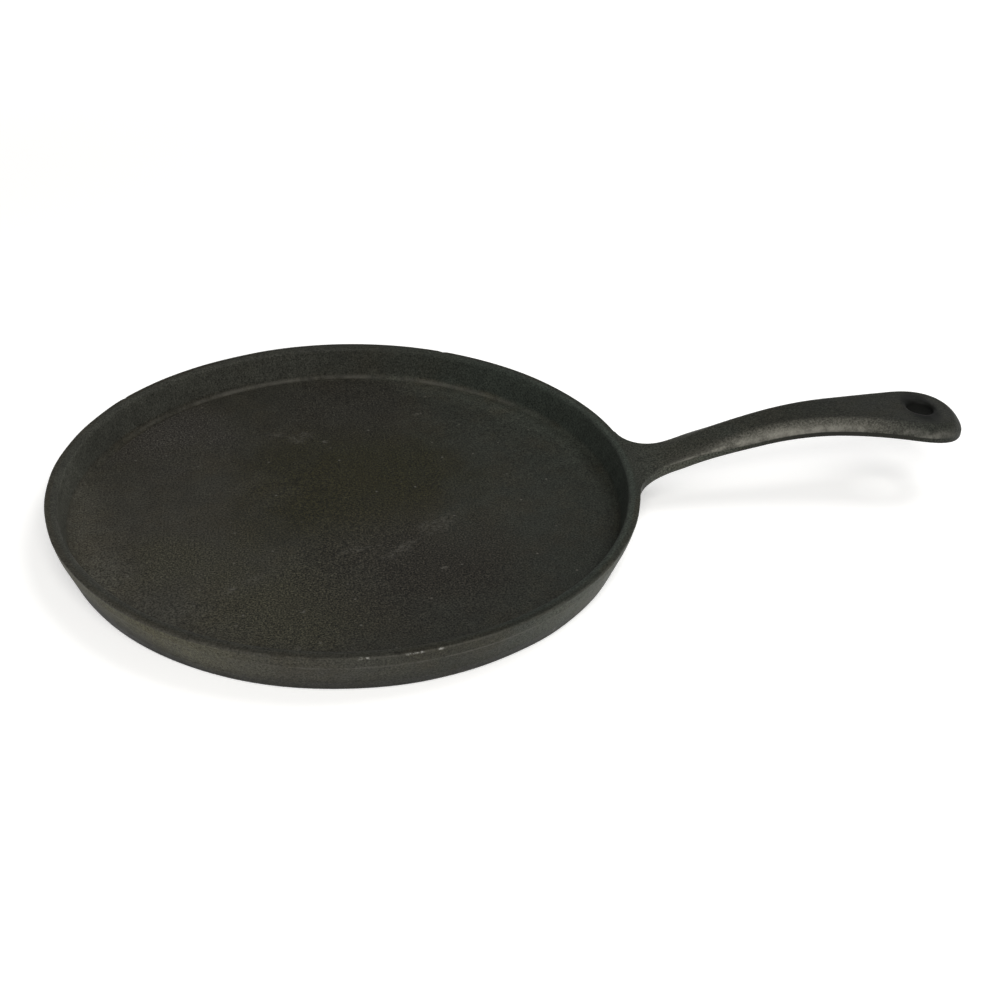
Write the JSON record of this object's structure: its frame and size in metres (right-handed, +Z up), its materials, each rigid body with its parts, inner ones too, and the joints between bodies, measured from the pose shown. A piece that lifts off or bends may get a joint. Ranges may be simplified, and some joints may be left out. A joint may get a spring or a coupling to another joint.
{
  "type": "round griddle pan",
  "caption": "Round cast-iron griddle with a flat cooking floor, a low tapered wall with an upright lip, and an arched handle that ends in a hanging hole.",
  "frame": {"origin": "centre of the flat underside that stands on the stove", "axes": "+Z up out of the cooking floor, +X along the handle, +Y to the left of the handle"},
  "size_m": [0.4242, 0.2664, 0.0444],
  "materials": {
    "floor_iron": "seasoned, matt, lightly scuffed",
    "wall_iron": "seasoned, satin, worn pale along the edges",
    "handle_iron": "satin, polished grey by hands"
  },
  "bodies": {
    "root": {"griddle_plate": "floor_iron", "side_wall": "wall_iron", "rim_lip": "wall_iron", "handle_root": "handle_iron", "handle_grip": "handle_iron", "hanging_eye": "handle_iron"}
  },
  "joints": []
}
